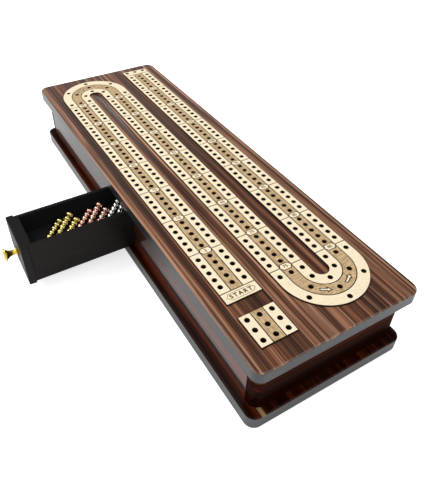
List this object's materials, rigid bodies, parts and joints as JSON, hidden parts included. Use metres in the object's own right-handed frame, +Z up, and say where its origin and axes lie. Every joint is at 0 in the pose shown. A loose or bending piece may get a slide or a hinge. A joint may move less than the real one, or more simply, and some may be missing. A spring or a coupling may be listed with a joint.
{
  "type": "cribbage box",
  "caption": "Long wooden cribbage board on a shallow box, with inlaid scoring tracks, drilled peg holes and a small side drawer holding ringed metal pegs.",
  "frame": {"origin": "middle of the box's underside", "axes": "+Z up, +Y along the board from the start to the far turn, the drawer leaves towards -X"},
  "size_m": [0.2077, 0.368, 0.0575],
  "materials": {
    "rosewood": "gloss lacquer",
    "plain_wood": "matte",
    "maple": "satin",
    "oak": "satin",
    "black_wood": "satin lacquer",
    "black_cloth": "matte",
    "brass": "polished",
    "copper": "polished",
    "nickel": "polished",
    "steel": "plain"
  },
  "bodies": {
    "box": {"base_plate": "rosewood", "top_plate": "rosewood", "end_wall_near": "rosewood", "end_wall_far": "rosewood", "side_wall_right": "rosewood", "side_wall_left_near": "rosewood", "side_wall_left_far": "rosewood", "drawer_guide_near": "plain_wood", "drawer_guide_far": "plain_wood", "start_plate": "maple", "finish_plate": "maple", "parking_strip_left": "maple", "parking_strip_centre": "oak", "parking_strip_right": "maple", "leg_1_strip_left": "maple", "leg_1_strip_centre": "oak", "leg_1_strip_right": "maple", "leg_2_strip_left": "maple", "leg_2_strip_centre": "oak", "leg_2_strip_right": "maple", "leg_3_strip_left": "maple", "leg_3_strip_centre": "oak", "leg_3_strip_right": "maple", "near_turn_strip_inner": "maple", "near_turn_strip_middle": "oak", "near_turn_strip_outer": "maple", "far_turn_strip_inner": "maple", "far_turn_strip_middle": "oak", "far_turn_strip_outer": "maple"},
    "drawer": {"drawer_front_plate": "black_wood", "drawer_inner_front": "black_wood", "drawer_side_near": "black_wood", "drawer_side_far": "black_wood", "drawer_back": "black_wood", "drawer_bottom": "black_wood", "drawer_cleats": "black_wood", "drawer_lining": "black_cloth", "drawer_knob": "brass", "knob_screw": "steel"},
    "peg_gold_1": {"peg_gold_1": "brass"},
    "peg_gold_2": {"peg_gold_2": "brass"},
    "peg_gold_3": {"peg_gold_3": "brass"},
    "peg_copper_1": {"peg_copper_1": "copper"},
    "peg_copper_2": {"peg_copper_2": "copper"},
    "peg_copper_3": {"peg_copper_3": "copper"},
    "peg_silver_1": {"peg_silver_1": "nickel"},
    "peg_silver_2": {"peg_silver_2": "nickel"},
    "peg_silver_3": {"peg_silver_3": "nickel"}
  },
  "joints": [
    {"name": "drawer_slide", "type": "slide", "parent": "box", "child": "drawer", "axis": [-1, 0, 0], "range_m": [-0.077, 0.01]},
    {"name": "peg_gold_1_lift", "type": "slide", "parent": "drawer", "child": "peg_gold_1", "axis": [0, 0, 1], "range_m": [0, 0.045]},
    {"name": "peg_gold_2_lift", "type": "slide", "parent": "drawer", "child": "peg_gold_2", "axis": [0, 0, 1], "range_m": [0, 0.045]},
    {"name": "peg_gold_3_lift", "type": "slide", "parent": "drawer", "child": "peg_gold_3", "axis": [0, 0, 1], "range_m": [0, 0.045]},
    {"name": "peg_copper_1_lift", "type": "slide", "parent": "drawer", "child": "peg_copper_1", "axis": [0, 0, 1], "range_m": [0, 0.045]},
    {"name": "peg_copper_2_lift", "type": "slide", "parent": "drawer", "child": "peg_copper_2", "axis": [0, 0, 1], "range_m": [0, 0.045]},
    {"name": "peg_copper_3_lift", "type": "slide", "parent": "drawer", "child": "peg_copper_3", "axis": [0, 0, 1], "range_m": [0, 0.045]},
    {"name": "peg_silver_1_lift", "type": "slide", "parent": "drawer", "child": "peg_silver_1", "axis": [0, 0, 1], "range_m": [0, 0.01]},
    {"name": "peg_silver_2_lift", "type": "slide", "parent": "drawer", "child": "peg_silver_2", "axis": [0, 0, 1], "range_m": [0, 0.007]},
    {"name": "peg_silver_3_lift", "type": "slide", "parent": "drawer", "child": "peg_silver_3", "axis": [0, 0, 1], "range_m": [0, 0.01]}
  ]
}
